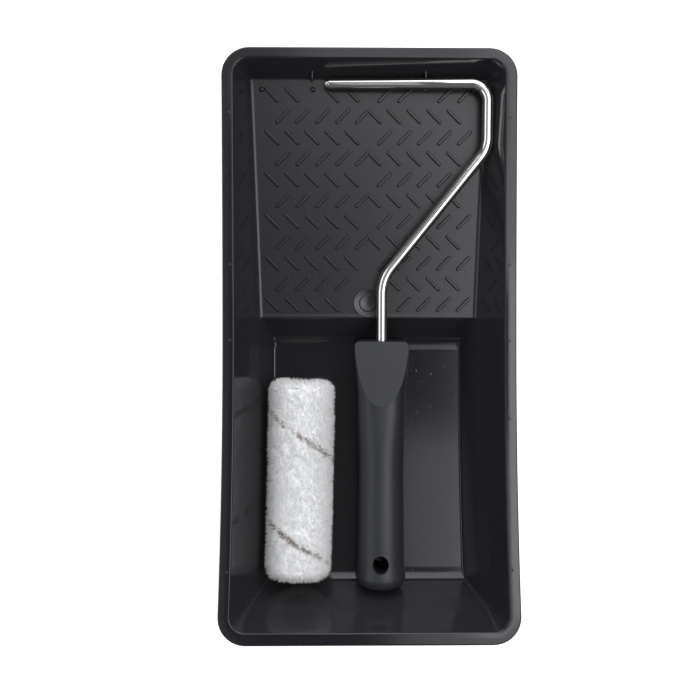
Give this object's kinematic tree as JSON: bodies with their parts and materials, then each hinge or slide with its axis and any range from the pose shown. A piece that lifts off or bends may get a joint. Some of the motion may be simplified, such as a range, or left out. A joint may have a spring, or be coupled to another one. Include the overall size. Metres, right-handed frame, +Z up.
{
  "type": "paint roller tray",
  "caption": "Moulded mini roller tray with a barred ramp and a deep well, holding a bent wire roller frame with a handle and a loose pile sleeve.",
  "frame": {"origin": "on the table, under the middle of the tray", "axes": "+Z up out of the tray, +Y along the tray from the well to the ramp, +X to the right"},
  "size_m": [0.1526, 0.3, 0.047],
  "materials": {
    "tray_plastic": "semi-gloss moulded black polypropylene",
    "plated_wire": "bright zinc or chrome plated steel wire",
    "handle_plastic": "satin charcoal moulded plastic",
    "core_board": "resin-soaked paper tube",
    "pile": "white woven microfibre pile with a grey-brown dashed stripe",
    "bearing_plastic": "natural moulded plastic",
    "collet_plastic": "moulded nylon"
  },
  "bodies": {
    "tray": {"tray": "tray_plastic"},
    "roller_frame": {"wire_frame": "plated_wire", "handle": "handle_plastic"},
    "collet": {"snap_collet": "collet_plastic"},
    "sleeve": {"core_tube": "core_board", "pile_cover": "pile", "open_end_bearing": "bearing_plastic", "closed_end_bearing": "bearing_plastic"}
  },
  "joints": [
    {"name": "frame_lift", "type": "slide", "parent": "tray", "child": "roller_frame", "axis": [0, 0, 1], "range_m": [0, 0.15]},
    {"name": "sleeve_lift", "type": "slide", "parent": "tray", "child": "collet", "axis": [0, 0, 1], "range_m": [0, 0.15]},
    {"name": "sleeve_spin", "type": "hinge", "parent": "collet", "child": "sleeve", "pos_m": [-0.0356, -0.0697, 0.0198], "axis": [0.0209, 0.9998, 0], "continuous": true}
  ]
}
